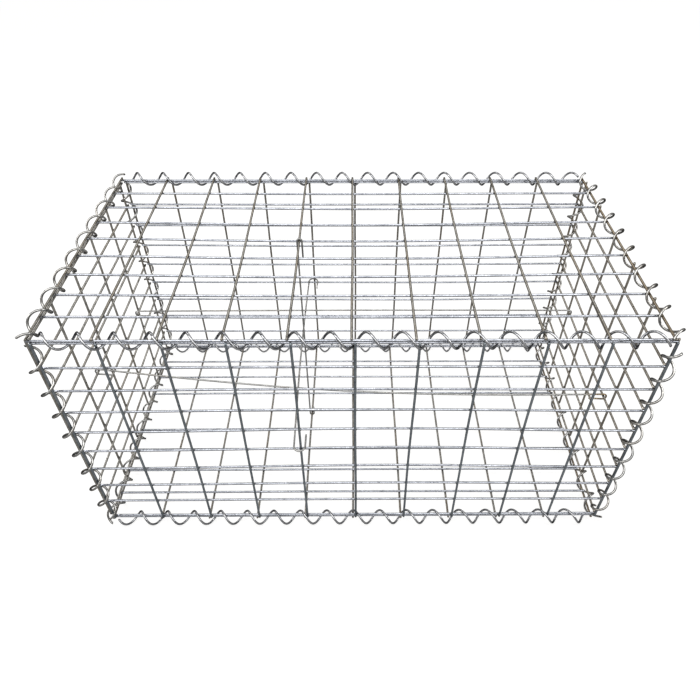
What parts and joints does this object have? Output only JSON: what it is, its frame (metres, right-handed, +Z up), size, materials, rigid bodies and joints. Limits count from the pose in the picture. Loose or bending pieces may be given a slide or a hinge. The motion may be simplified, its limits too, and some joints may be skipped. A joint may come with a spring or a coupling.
{
  "type": "gabion basket",
  "caption": "Box-shaped gabion basket of welded wire mesh panels, laced along every edge with spiral binders and braced inside by hooked wire ties.",
  "frame": {"origin": "on the ground, under the middle of the basket", "axes": "+X along the basket's length to the right, +Y from the front to the back, +Z up"},
  "size_m": [1.0389, 0.5352, 0.5447],
  "materials": {
    "mesh_wire": "galvanised, satin, slightly mottled",
    "spiral_wire": "galvanised, satin",
    "tie_wire": "galvanised, dull, brownish at one end"
  },
  "bodies": {
    "root": {"base_panel": "mesh_wire", "lid_panel": "mesh_wire", "front_panel": "mesh_wire", "back_panel": "mesh_wire", "left_end_panel": "mesh_wire", "right_end_panel": "mesh_wire", "front_top_spiral": "spiral_wire", "front_bottom_spiral": "spiral_wire", "back_top_spiral": "spiral_wire", "back_bottom_spiral": "spiral_wire", "left_top_spiral": "spiral_wire", "left_bottom_spiral": "spiral_wire", "right_top_spiral": "spiral_wire", "right_bottom_spiral": "spiral_wire", "front_left_spiral": "spiral_wire", "front_right_spiral": "spiral_wire", "back_left_spiral": "spiral_wire", "back_right_spiral": "spiral_wire", "rear_long_tie": "tie_wire", "front_long_tie": "tie_wire", "cross_tie": "tie_wire", "upright_tie": "tie_wire"}
  },
  "joints": []
}
